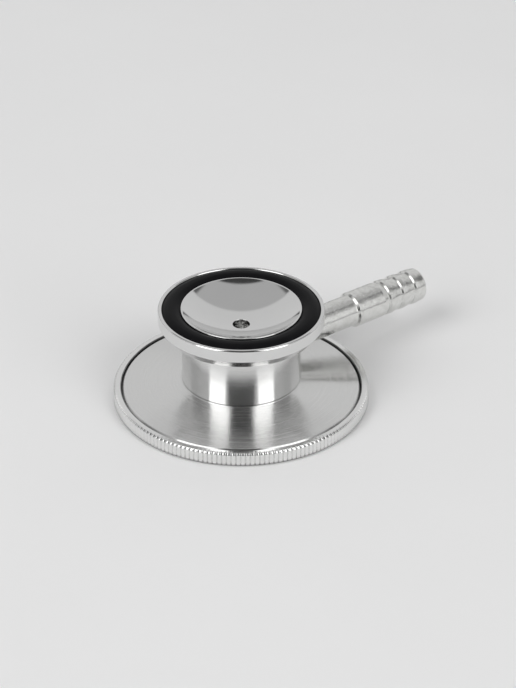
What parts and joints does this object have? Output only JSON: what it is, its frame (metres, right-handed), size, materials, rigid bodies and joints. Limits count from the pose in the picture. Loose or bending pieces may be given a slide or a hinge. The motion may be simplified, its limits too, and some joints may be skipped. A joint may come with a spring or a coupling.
{
  "type": "stethoscope chestpiece",
  "caption": "Two-sided stethoscope chestpiece: shallow polished bell over a diaphragm in a knurled screw ring, with a turning barbed stem that switches between them.",
  "frame": {"origin": "centre of the retaining ring's foot, on the plane that the chestpiece stands on", "axes": "+Z along the head's axis, from the diaphragm up through the bell; +X along the stem, from the head to the tube barb"},
  "size_m": [0.0658, 0.047, 0.0189],
  "materials": {
    "polished_aluminium": "mirror polished",
    "turned_aluminium": "fine turned, with a soft circular grain",
    "knurled_aluminium": "knurled, bright",
    "stem_metal": "rough turned and tumbled, with small dents",
    "black_rubber": "satin",
    "diaphragm_sheet": "glass-fibre epoxy sheet, faint weave",
    "gasket_rubber": "matt",
    "steel": "bright steel"
  },
  "bodies": {
    "head": {"bell_cup": "polished_aluminium", "non_chill_ring": "black_rubber", "hub": "turned_aluminium", "diaphragm_plate": "turned_aluminium", "detent_ball": "steel", "detent_spring": "steel", "detent_screw": "steel", "lock_screw": "steel"},
    "stem": {"stem": "stem_metal", "front_o_ring": "black_rubber", "rear_o_ring": "black_rubber"},
    "diaphragm_set": {"diaphragm": "diaphragm_sheet", "diaphragm_gasket": "gasket_rubber"},
    "ring": {"retaining_ring": "knurled_aluminium"}
  },
  "joints": [
    {"name": "stem_turn", "type": "hinge", "parent": "head", "child": "stem", "pos_m": [0, 0, 0.009], "axis": [1, 0, 0], "continuous": true},
    {"name": "ring_lower", "type": "slide", "parent": "head", "child": "diaphragm_set", "axis": [0, 0, -1], "range_m": [0, 0.0015]},
    {"name": "ring_unscrew", "type": "hinge", "parent": "diaphragm_set", "child": "ring", "pos_m": [0, 0, 0], "axis": [0, 0, -1], "range_deg": [0, 1080]}
  ],
  "couplings": [
    {"joint": "ring_lower", "follows": "ring_unscrew", "m_per_rad": 0.000079577}
  ]
}
